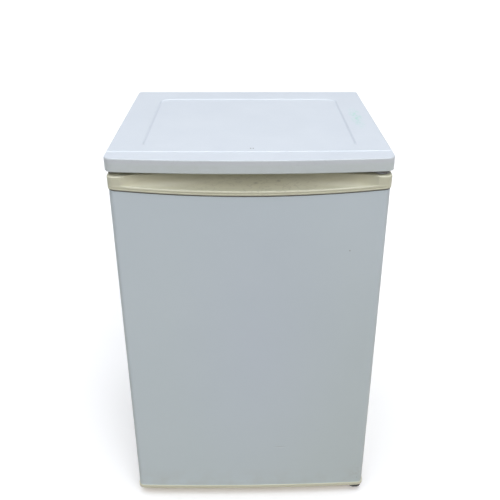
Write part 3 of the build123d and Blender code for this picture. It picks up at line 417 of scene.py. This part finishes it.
def cap_stations(half, apex, back):
    """Plan points and inward directions round the cap, from the left rear to the right rear."""
    big = (half * half + CAP_BOW * CAP_BOW) / (2 * CAP_BOW)
    hub = apex + big
    inner = half - CAP_CORNER
    corner_y = hub - math.sqrt((big - CAP_CORNER) ** 2 - inner ** 2)
    lean = math.degrees(math.asin(inner / (big - CAP_CORNER)))
    right = []
    places = spread(0.0, 0.2, 5 * MM) + spread(0.2, 0.234, 2 * MM) + spread(0.234, 0.25, 0.6 * MM)
    for x in places + [0.25, 0.2525]:
        angle = math.asin(x / big)
        right.append((x, hub - big * math.cos(angle), -math.sin(angle), math.cos(angle)))
    for x, y in arc((inner, corner_y), CAP_CORNER, -90 + lean, 0, 12):
        right.append((x, y, (inner - x) / CAP_CORNER, (corner_y - y) / CAP_CORNER))
    for y in spread(corner_y, back, 8 * MM)[1:] + [back]:
        right.append((half, y, -1.0, 0.0))
    left = [(-x, y, -across, deep) for x, y, across, deep in right[:0:-1]]
    return left + right


def pull_depth(x, face_y, apex):
    """How far the finger pull's rear wall stands behind the cap's face at its top."""
    x = abs(x)
    rear = apex + PULL_DEEP - PULL_BOW * min(x / PULL_HALF, 1.0) ** 2
    if x > PULL_HALF:
        run = min((x - PULL_HALF) / (PULL_END - PULL_HALF), 1.0)
        rear -= PULL_END_SWEEP * (1 - (1 - run * run) ** PULL_END_SHARPNESS)
    if x > PULL_END:
        rear -= (x - PULL_END) * PULL_CLOSE
    deep = rear - face_y
    return (deep + math.sqrt(deep * deep + PULL_BLEND * PULL_BLEND)) / 2


def cap_profile(seam, top, deep):
    """Distance behind the face and height of the cap's section, from its lower rear upwards."""
    pull = smoothstep(deep / (17 * MM))
    edge = seam + SEAM_GAP
    section = [(3 * MM, seam - 2 * MM), (3 * MM, edge), (0.8 * MM, edge)]
    section += [(0.8 * MM + t, edge + 0.8 * MM + z) for t, z in arc((0, 0), 0.8 * MM, 240, 180, 3)]
    groove = [(0.0, 5.4), (0.25, 5.7), (1.0, 6.0), (1.0, 7.0), (0.25, 7.3), (0.0, 7.6)]
    section += [(t * MM, seam + z * MM) for t, z in groove]
    lip = seam + LIP_LIFT
    radius = LIP_RADIUS * pull + 0.05 * MM
    section += [(radius + t, lip - radius + z) for t, z in arc((0, 0), radius, 180, 0, 10)]
    floor = lip - 4.6 * MM * pull - radius * 0.2
    start = 2 * radius + 1.6 * MM * pull
    round_top = (2.5 - 0.5 * pull) * MM
    wall_top = top - round_top
    rise = wall_top - floor
    for step in range(19):
        angle = math.pi / 2 * (1 - step / 18)
        t = start + (deep - start) * math.cos(angle) if deep > start else deep
        section.append((t, floor + rise * (1 - math.sin(angle))))
    section += [(deep + round_top + t, wall_top + z) for t, z in arc((0, 0), round_top, 180, 90, 6)[1:]]
    return section


def smooth_door_cap(material):
    """The cream moulding on the door's top: rounded lip, scooped finger pull, end blocks."""
    low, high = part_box("door_top_cap")
    back, top, apex = high.y, high.z, low.y
    rings = []
    for x, y, across, forward in cap_stations(high.x, apex, back):
        seam = top - SEAM_DROP + SEAM_RISE * (x / SEAM_HALF) ** 2
        deep = pull_depth(x, y, apex)
        ring = [(x + across * t, y + forward * t, z) for t, z in cap_profile(seam, top, deep)]
        ring.append((ring[-1][0], back, top))
        ring.append((ring[0][0], back, ring[0][2]))
        rings.append(ring)
    cap = new_piece("door_cap_moulding", *skin_rings(rings), material)
    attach(cap, "door")
    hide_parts("door_top_cap")


# ---------------------------------------------------------------- door seal, dial marks and screw heads

def door_seal(material):
    """The magnetic seal: a magnet sleeve on a folded bellows with two thin lips, mitred at its corners."""
    low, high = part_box("door_gasket")
    wide = 16 * MM
    thick = high.y - low.y
    outline = [(0.25, 0.0), (0.25, 0.2), (0.02, 0.34), (0.02, 0.42), (0.3, 0.5), (0.12, 0.6), (0.12, 0.68)]
    outline += [(0.0, 0.8), (0.0, 1.0), (0.2, 0.95), (0.8, 0.95), (1.0, 1.0), (1.0, 0.8)]
    outline += [(0.88, 0.68), (0.88, 0.6), (0.7, 0.5), (0.98, 0.42), (0.98, 0.34), (0.75, 0.2), (0.75, 0.0)]
    rings = []
    for side_x, side_z in ((-1, -1), (1, -1), (1, 1), (-1, 1), (-1, -1)):
        ring = []
        for across, through in outline:
            inset = wide * across
            x = side_x * (high.x - inset)
            z = (low.z + inset) if side_z < 0 else (high.z - inset)
            ring.append((x, low.y + thick * through, z))
        rings.append(ring)
    seal = new_piece("door_seal", *skin_rings(rings), material, 25.0)
    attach(seal, "door")
    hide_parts("door_gasket")


def bar_shape(center, along_way, across_way, out_way, size):
    """Vertices and faces of a small bar with a narrower top, in three given directions."""
    vertices = []
    for out, narrow in ((0.0, 1.0), (1.0, 0.7)):
        for a, b in ((-1, -1), (1, -1), (1, 1), (-1, 1)):
            place_a = along_way * (a * size[0] * narrow / 2)
            place_b = across_way * (b * size[1] * narrow / 2)
            vertices.append(center + place_a + place_b + out_way * (out * size[2]))
    faces = [(0, 3, 2, 1), (4, 5, 6, 7), (0, 1, 5, 4), (1, 2, 6, 5), (2, 3, 7, 6), (3, 0, 4, 7)]
    return vertices, faces


def merged(shapes):
    """One list of vertices and faces from several shapes."""
    vertices = []
    faces = []
    for points, sides in shapes:
        start = len(vertices)
        vertices += points
        faces += [tuple(start + index for index in side) for side in sides]
    return vertices, faces


def dial_marks(material):
    """Raised strokes round the thermostat knob, longer towards the cold end."""
    knob_low, knob_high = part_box("thermostat_knob")
    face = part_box("control_housing")[0].x
    middle_y = (knob_low.y + knob_high.y) / 2
    middle_z = (knob_low.z + knob_high.z) / 2
    out = Vector((-1.0, 0.0, 0.0))
    shapes = []
    for count in range(8):
        angle = math.radians(125 - 290 * count / 7)
        ray = Vector((0.0, math.sin(angle), math.cos(angle)))
        side = Vector((0.0, math.cos(angle), -math.sin(angle)))
        long = (2.2 + 0.5 * count) * MM
        center = Vector((face + 0.05 * MM, middle_y, middle_z)) + ray * (21 * MM + long / 2)
        shapes.append(bar_shape(center, ray, side, out, (long, 1.4 * MM, 0.35 * MM)))
    marks = new_piece("dial_marks", *merged(shapes), material)
    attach(marks, "cabinet")


# ---------------------------------------------------------------- finishes

def worn_surface(name, light, dark, patches, roughness, grain=0, depth=0.0, metallic=0.0):
    """A finish in two close tones, with uneven gloss and, where it has a grain, a fine relief."""
    material, shader = start_material(name, light, roughness, metallic)
    color = mix_color(material, cloud(material, patches, 0.22, 0.78), dark, light)
    spread_of_gloss = (roughness * 0.85, roughness * 1.15)
    rough = stretch_range(material, noise(material, patches * 2), 0.1, 0.9, *spread_of_gloss)
    plug(material, rough, shader.inputs["Roughness"])
    if grain:
        relief(material, shader, noise(material, grain, 2), depth)
    return material, shader, color


def painted(material, shader, color):
    """Put the finished colour on the shader."""
    plug(material, color, shader.inputs["Base Color"])
    return material


def white_worktop():
    """Moulded white plastic, faintly uneven in tone, with a green smear and two specks; a painted greenish
    shade, in blotches, on its front and sides, and a painted bluish shade line along each side of the sunk
    field.
    """
    low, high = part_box("worktop")
    material, shader, color = worn_surface(
        "white_worktop", (0.835, 0.86, 0.893), (0.79, 0.82, 0.86), 9, 0.34, 900, 0.00003
    )
    rubbed = weaken(material, lines(material, 26, 0.012, (1.0, 5.0, 1.0)), 0.16)
    color = mix_color(material, rubbed, color, (0.66, 0.69, 0.71))
    # painted shade: the worktop's front and sides, below its top, are tinted greenish grey, with random
    # blotches darkening that shade further
    front = stretch_range(material, along(material, "Z"), high.z - 0.008, high.z - 0.014)
    blotchy_front_shade = both_masks(material, front, cloud(material, 38, 0.4, 0.75))
    color = mix_color(material, weaken(material, front, 0.35), color, (0.76, 0.835, 0.80))
    color = mix_color(material, weaken(material, blotchy_front_shade, 0.34), color, (0.70, 0.735, 0.70))
    smear = near(material, (high.x - 0.036, 0.01, high.z), 0.15, 1.0, (62.0, 10.0, 50.0))
    fleck = both_masks(material, smear, cloud(material, 150, 0.5, 0.62, (1.0, 0.35, 1.0)))
    color = mix_color(material, weaken(material, smear, 0.22), color, (0.66, 0.88, 0.82))
    color = mix_color(material, weaken(material, fleck, 0.7), color, (0.50, 0.80, 0.68))
    # painted shade: a thin bluish-grey line along each side of the sunk field, over most of its depth
    across = math_node(material, "ABSOLUTE", along(material, "X"))
    edge = math_node(material, "ABSOLUTE", math_node(material, "SUBTRACT", across, high.x - FIELD_MARGIN))
    edge = stretch_range(material, edge, 0.0009, 0.003, 1.0, 0.0)
    behind = stretch_range(material, along(material, "Y"), low.y + 0.085, low.y + 0.11)
    ahead = stretch_range(material, along(material, "Y"), low.y + 0.45, low.y + 0.43)
    edge = both_masks(material, edge, both_masks(material, behind, ahead))
    color = mix_color(material, weaken(material, edge, 0.3), color, (0.50, 0.52, 0.60))
    for x in (0.0015, 0.0065):
        speck = near(material, (x, low.y + 0.07, high.z), 0.0009, 0.0021, (1.0, 0.6, 0.3))
        color = mix_color(material, weaken(material, speck, 0.8), color, (0.22, 0.21, 0.19))
    dust = weaken(material, spots(material, 70, 0.05), 0.3)
    color = mix_color(material, dust, color, (0.52, 0.52, 0.48))
    return painted(material, shader, color)


def white_enamel():
    """White stoved enamel on steel: orange peel, painted shade that greys it towards the floor and more at
    the lower right, a faint painted bluish shade across the middle, painted shade on the rounded side
    edges, a scratch with a painted glint beside it, a stain along the hem and specks.
    """
    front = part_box("door_skin")[0].y
    material, shader, color = worn_surface(
        "white_enamel", (0.775, 0.842, 0.895), (0.735, 0.808, 0.862), 3.5, 0.3, 420, 0.000022
    )
    # painted shade: the door greys towards the floor
    lower_shade = stretch_range(material, along(material, "Z"), 0.72, 0.05)
    color = mix_color(material, weaken(material, lower_shade, 0.42), color, (0.62, 0.685, 0.66))
    # painted shade: the lower right of the door is darkened further
    right_shade_side = stretch_range(material, along(material, "X"), -0.05, 0.26)
    low_down = stretch_range(material, along(material, "Z"), 0.8, 0.1)
    low_right_shade = both_masks(material, right_shade_side, low_down)
    color = mix_color(material, weaken(material, low_right_shade, 0.4), color, (0.58, 0.63, 0.60))
    hem = stretch_range(material, along(material, "Z"), 0.09, 0.03)
    stain = both_masks(material, hem, cloud(material, 22, 0.42, 0.7))
    color = mix_color(material, weaken(material, stain, 0.3), color, (0.52, 0.50, 0.42))
    # painted shade: a broad, faint bluish-grey darkening across the middle of the door
    middle = near(material, (0.02, front, 0.42), 0.1, 1.0, (5.0, 1.0, 2.4))
    color = mix_color(material, weaken(material, middle, 0.3), color, (0.72, 0.76, 0.90))
    corner = near(material, (0.254, front, 0.06), 0.1, 1.0, (50.0, 10.0, 26.0))
    corner = both_masks(material, corner, cloud(material, 150, 0.42, 0.7))
    color = mix_color(material, weaken(material, corner, 0.22), color, (0.45, 0.43, 0.38))
    scratch = near(material, (0.0676, front, 0.1505), 0.1, 1.0, (60.0, 20.0, 500.0))
    color = mix_color(material, weaken(material, scratch, 0.55), color, (0.50, 0.54, 0.55))
    glint = near(material, (0.0676, front, 0.1478), 0.1, 1.0, (60.0, 20.0, 500.0))
    color = mix_color(material, weaken(material, glint, 0.4), color, (0.86, 0.90, 0.92))
    # painted shade, in broad patches, on the door's rounded side edges
    beside = stretch_range(material, math_node(material, "ABSOLUTE", along(material, "X")), 0.262, 0.2692)
    ahead = stretch_range(material, along(material, "Y"), front + 0.03, front + 0.02)
    side_edge = both_masks(material, beside, ahead)
    side_edge_shade = both_masks(material, side_edge, cloud(material, 6, 0.2, 0.5))
    color = mix_color(material, weaken(material, side_edge_shade, 0.5), color, (0.42, 0.41, 0.38))
    for x, z in ((0.256, 0.0458), (0.1983, 0.658)):
        speck = near(material, (x, front, z), 0.0006, 0.0016, (1.0, 0.1, 1.0))
        color = mix_color(material, weaken(material, speck, 0.75), color, (0.24, 0.22, 0.19))
    return painted(material, shader, color)


def cream_plastic():
    """Aged cream moulding, with scuffs in the finger pull and painted shade along the lower edge over the
    seam.
    """
    low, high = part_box("door_top_cap")
    material, shader, color = worn_surface(
        "cream_plastic", (0.80, 0.77, 0.60), (0.755, 0.725, 0.55), 14, 0.33, 700, 0.00003
    )
    handled = near(material, (0.02, low.y + 0.02, high.z - 0.022), 0.3, 1.0, (5.0, 18.0, 34.0))
    rub = both_masks(material, handled, lines(material, 34, 0.03, (1.0, 1.0, 4.0)))
    color = mix_color(material, weaken(material, rub, 0.3), color, (0.45, 0.41, 0.32))
    for x, z in ((0.011, 0.0215), (0.0548, 0.018)):
        scuff = near(material, (x, low.y + 0.03, high.z - z), 0.1, 1.0, (150.0, 25.0, 420.0))
        color = mix_color(material, weaken(material, scuff, 0.45), color, (0.34, 0.31, 0.25))
    dust = weaken(material, spots(material, 110, 0.05), 0.35)
    color = mix_color(material, dust, color, (0.45, 0.42, 0.34))
    # painted shade: a near-black band on the cap's lower edge just above the seam gap
    across = math_node(material, "MULTIPLY", along(material, "X"), 1 / SEAM_HALF)
    squared = math_node(material, "MULTIPLY", across, across)
    sag = math_node(material, "MULTIPLY", squared, SEAM_RISE)
    level = math_node(material, "SUBTRACT", along(material, "Z"), sag)
    above = math_node(material, "SUBTRACT", level, high.z - SEAM_DROP)
    joint = stretch_range(material, above, SEAM_GAP, SEAM_GAP + 0.9 * MM, 1.0, 0.0)
    on_cap = stretch_range(material, along(material, "Z"), low.z - 0.07, low.z - 0.06)
    dirt_and_shade = both_masks(material, joint, on_cap)
    color = mix_color(material, weaken(material, dirt_and_shade, 0.85), color, (0.09, 0.075, 0.06))
    return painted(material, shader, color)


def galvanised():
    """Zinc-dipped sheet with its spangle."""
    material, shader, color = worn_surface(
        "galvanised", (0.66, 0.67, 0.68), (0.55, 0.56, 0.57), 5, 0.42, 500, 0.00001, 1.0
    )
    spangle = material.node_tree.nodes.new("ShaderNodeTexVoronoi")
    plug(material, mapped(material, (1.0, 1.0, 1.0)), spangle.inputs["Vector"])
    spangle.inputs["Scale"].default_value = 110
    split = material.node_tree.nodes.new("ShaderNodeSeparateColor")
    plug(material, spangle.outputs["Color"], split.inputs["Color"])
    flake = stretch_range(material, split.outputs["Red"], 0.0, 1.0, 0.32, 0.52)
    plug(material, flake, shader.inputs["Roughness"])
    color = mix_color(material, weaken(material, split.outputs["Green"], 0.4), color, (0.78, 0.80, 0.82))
    bloom = weaken(material, cloud(material, 12, 0.56, 0.7), 0.35)
    color = mix_color(material, bloom, color, (0.74, 0.74, 0.72))
    return painted(material, shader, color)


def foam():
    """Yellowed rigid foam with its cells."""
    material, shader, color = worn_surface("foam", (0.90, 0.83, 0.62), (0.80, 0.70, 0.46), 12, 0.9)
    bubbles = stretch_range(material, cells(material, 420), 0.1, 0.5)
    relief(material, shader, bubbles, 0.0004)
    color = mix_color(material, weaken(material, bubbles, 0.25), (0.66, 0.56, 0.36), color)
    return painted(material, shader, color)


def white_liner():
    """Vacuum-formed white plastic: soft ripples, a little yellowing and food specks."""
    material, shader, color = worn_surface(
        "white_liner", (0.86, 0.87, 0.86), (0.82, 0.825, 0.80), 6, 0.28, 28, 0.0002
    )
    yellow = weaken(material, cloud(material, 3, 0.45, 0.75), 0.3)
    color = mix_color(material, yellow, color, (0.83, 0.81, 0.70))
    marks = both_masks(material, spots(material, 60, 0.06), cloud(material, 7, 0.5, 0.6))
    color = mix_color(material, weaken(material, marks, 0.4), color, (0.50, 0.42, 0.30))
    return painted(material, shader, color)


def zinc():
    """Zinc-plated steel, brushed, with dull patches and a trace of rust."""
    material, shader, color = worn_surface(
        "zinc", (0.20, 0.20, 0.205), (0.12, 0.12, 0.125), 30, 0.46, 700, 0.00002, 1.0
    )
    brushed = cloud(material, 90, 0.4, 0.6, (1.0, 14.0, 1.0))
    color = mix_color(material, weaken(material, brushed, 0.3), color, (0.32, 0.32, 0.31))
    rust = weaken(material, cloud(material, 120, 0.62, 0.7), 0.5)
    color = mix_color(material, rust, color, (0.30, 0.17, 0.09))
    return painted(material, shader, color)


def grained(name, light, dark, roughness, grain, depth, dust):
    """Moulded plastic or rubber with a spark-eroded grain, and dust on what faces up."""
    material, shader, color = worn_surface(name, light, dark, 24, roughness)
    pebbles = stretch_range(material, cells(material, grain * 0.6), 0.0, 0.7)
    relief(material, shader, pebbles, depth)
    settled = both_masks(material, facing_up(material), cloud(material, 40, 0.35, 0.7))
    color = mix_color(material, weaken(material, settled, dust), color, (0.42, 0.40, 0.37))
    return painted(material, shader, color)


def black_paint():
    """Semi-gloss black paint with dust on top and scattered chips."""
    material, shader, color = worn_surface(
        "black_paint", (0.028, 0.028, 0.03), (0.014, 0.014, 0.015), 18, 0.32, 300, 0.00006
    )
    dust = both_masks(material, facing_up(material), cloud(material, 35, 0.3, 0.65))
    color = mix_color(material, weaken(material, dust, 0.5), color, (0.33, 0.31, 0.28))
    chips = both_masks(material, spots(material, 240, 0.13), cloud(material, 16, 0.52, 0.6))
    color = mix_color(material, weaken(material, chips, 0.7), color, (0.30, 0.20, 0.14))
    return painted(material, shader, color)


def motor_iron():
    """Rough grey iron, oily in patches."""
    material, shader, color = worn_surface(
        "motor_iron", (0.34, 0.34, 0.345), (0.20, 0.195, 0.19), 22, 0.5, 260, 0.0002, 1.0
    )
    oil = weaken(material, cloud(material, 10, 0.5, 0.65), 0.55)
    color = mix_color(material, oil, color, (0.10, 0.08, 0.05))
    return painted(material, shader, color)


def copper():
    """Drawn copper with brown tarnish and a few green spots."""
    material, shader, color = worn_surface(
        "copper", (0.86, 0.50, 0.34), (0.62, 0.33, 0.20), 45, 0.3, 800, 0.00002, 1.0
    )
    tarnish = weaken(material, cloud(material, 80, 0.48, 0.66), 0.6)
    color = mix_color(material, tarnish, color, (0.28, 0.15, 0.09))
    green = both_masks(material, spots(material, 320, 0.22), cloud(material, 30, 0.55, 0.62))
    color = mix_color(material, weaken(material, green, 0.6), color, (0.22, 0.45, 0.36))
    return painted(material, shader, color)


def aluminium():
    """Rolled aluminium with fine streaks and dull frosting."""
    material, shader, color = worn_surface(
        "aluminium", (0.84, 0.85, 0.86), (0.72, 0.73, 0.74), 10, 0.34, 500, 0.00001, 1.0
    )
    streaks = cloud(material, 60, 0.4, 0.62, (0.4, 1.0, 12.0))
    color = mix_color(material, weaken(material, streaks, 0.35), color, (0.66, 0.67, 0.69))
    frost = weaken(material, cloud(material, 26, 0.55, 0.7), 0.5)
    color = mix_color(material, frost, color, (0.90, 0.92, 0.93))
    return painted(material, shader, color)


def hose_plastic():
    """Grey-white hose with mould rings and a damp stain."""
    material, shader, color = worn_surface("hose_plastic", (0.74, 0.74, 0.70), (0.62, 0.61, 0.55), 30, 0.55)
    rings = math_node(material, "SINE", math_node(material, "MULTIPLY", along(material, "Z"), 2600.0))
    relief(material, shader, rings, 0.0002)
    damp = weaken(material, cloud(material, 20, 0.5, 0.65), 0.4)
    color = mix_color(material, damp, color, (0.40, 0.36, 0.26))
    return painted(material, shader, color)


def clear(name, tint, roughness, grain, share):
    """See-through moulding or glass with faint scratches and finger marks."""
    material, shader = start_material(name, tint, roughness)
    shader.inputs["Transmission Weight"].default_value = share
    shader.inputs["IOR"].default_value = 1.49
    marks = cloud(material, 24, 0.45, 0.7)
    scored = lines(material, 30, 0.01, (1.0, 8.0, 1.0))
    smudged = stretch_range(material, marks, 0.0, 1.0, roughness, roughness + 0.16)
    rough = math_node(material, "MAXIMUM", smudged, weaken(material, scored, 0.3))
    plug(material, rough, shader.inputs["Roughness"])
    pale = tuple(min(1.0, value * 1.04) for value in tint)
    plug(material, mix_color(material, marks, tint, pale), shader.inputs["Base Color"])
    relief(material, shader, noise(material, grain, 2), 0.00005)
    return material


def coated_wire():
    """White nylon coating on wire, chipped to rusty steel here and there."""
    material, shader, color = worn_surface(
        "coated_wire", (0.86, 0.87, 0.865), (0.80, 0.80, 0.78), 30, 0.3, 350, 0.00008
    )
    chips = both_masks(material, spots(material, 150, 0.1), cloud(material, 9, 0.52, 0.58))
    color = mix_color(material, weaken(material, chips, 0.8), color, (0.36, 0.20, 0.10))
    return painted(material, shader, color)


def gasket():
    """Soft grey-white seal, dirtier in its folds."""
    low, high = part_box("door_gasket")
    material, shader, color = worn_surface(
        "gasket", (0.72, 0.73, 0.71), (0.62, 0.62, 0.59), 16, 0.55, 420, 0.00004
    )
    middle = (low.y + high.y) / 2
    fold = math_node(material, "ABSOLUTE", math_node(material, "SUBTRACT", along(material, "Y"), middle))
    fold = stretch_range(material, fold, 0.0, 0.003, 1.0, 0.0)
    dirt_and_shade = both_masks(material, fold, cloud(material, 30, 0.3, 0.6))
    color = mix_color(material, weaken(material, dirt_and_shade, 0.6), color, (0.24, 0.22, 0.19))
    mould = both_masks(material, spots(material, 380, 0.2), cloud(material, 14, 0.54, 0.6))
    color = mix_color(material, weaken(material, mould, 0.7), color, (0.08, 0.08, 0.07))
    return painted(material, shader, color)


def plain_moulding(name, light, dark, roughness):
    """Satin moulding with a fine texture, hairline scratches and dust."""
    material, shader, color = worn_surface(name, light, dark, 18, roughness, 650, 0.00003)
    scored = weaken(material, lines(material, 40, 0.01, (1.0, 6.0, 1.0)), 0.25)
    color = mix_color(material, scored, color, tuple(value * 0.72 for value in light))
    dust = both_masks(material, spots(material, 130, 0.05), cloud(material, 8, 0.5, 0.6))
    color = mix_color(material, weaken(material, dust, 0.2), color, (0.48, 0.46, 0.42))
    return painted(material, shader, color)


def bin_plastic():
    """Translucent white door shelves, with hairline scratches and dust."""
    material = plain_moulding("bin_plastic", (0.86, 0.88, 0.885), (0.81, 0.83, 0.835), 0.24)
    shader = material.node_tree.nodes["Principled BSDF"]
    shader.inputs["Transmission Weight"].default_value = 0.35
    shader.inputs["IOR"].default_value = 1.49
    return material


def all_finishes():
    """Every material slot of the record, by name."""
    return {
        "white_worktop": white_worktop(),
        "white_enamel": white_enamel(),
        "cream_plastic": cream_plastic(),
        "galvanised": galvanised(),
        "foam": foam(),
        "white_liner": white_liner(),
        "zinc": zinc(),
        "black_plastic": grained(
            "black_plastic", (0.045, 0.045, 0.05), (0.022, 0.022, 0.024), 0.55, 900, 0.00006, 0.45
        ),
        "rubber": grained("rubber", (0.035, 0.034, 0.033), (0.018, 0.018, 0.018), 0.8, 700, 0.0001, 0.6),
        "black_paint": black_paint(),
        "motor_iron": motor_iron(),
        "copper": copper(),
        "aluminium": aluminium(),
        "hose_plastic": hose_plastic(),
        "white_plastic": plain_moulding("white_plastic", (0.85, 0.86, 0.85), (0.80, 0.80, 0.775), 0.32),
        "nylon": plain_moulding("nylon", (0.085, 0.078, 0.07), (0.05, 0.046, 0.042), 0.42),
        "bin_plastic": bin_plastic(),
        "clear_plastic": clear("clear_plastic", (0.88, 0.93, 0.95), 0.08, 120, 0.9),
        "lamp_glass": clear("lamp_glass", (0.96, 0.94, 0.88), 0.22, 60, 0.8),
        "shelf_glass": clear("shelf_glass", (0.80, 0.93, 0.89), 0.03, 40, 0.95),
        "coated_wire": coated_wire(),
        "gasket": gasket(),
    }


def finish_nodes(frame, finishes):
    """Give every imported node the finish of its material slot."""
    for entry in frame["record"]["subparts"]:
        mesh = frame["nodes"][entry["node"]].data
        mesh.materials.clear()
        mesh.materials.append(finishes[entry["material_slot"]])


# ---------------------------------------------------------------- the whole scene

def main():
    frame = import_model()
    add_camera()
    add_studio()
    finishes = all_finishes()
    finish_nodes(frame, finishes)
    smooth_door_cap(finishes["cream_plastic"])
    door_seal(finishes["gasket"])
    dial_marks(finishes["black_plastic"])


main()
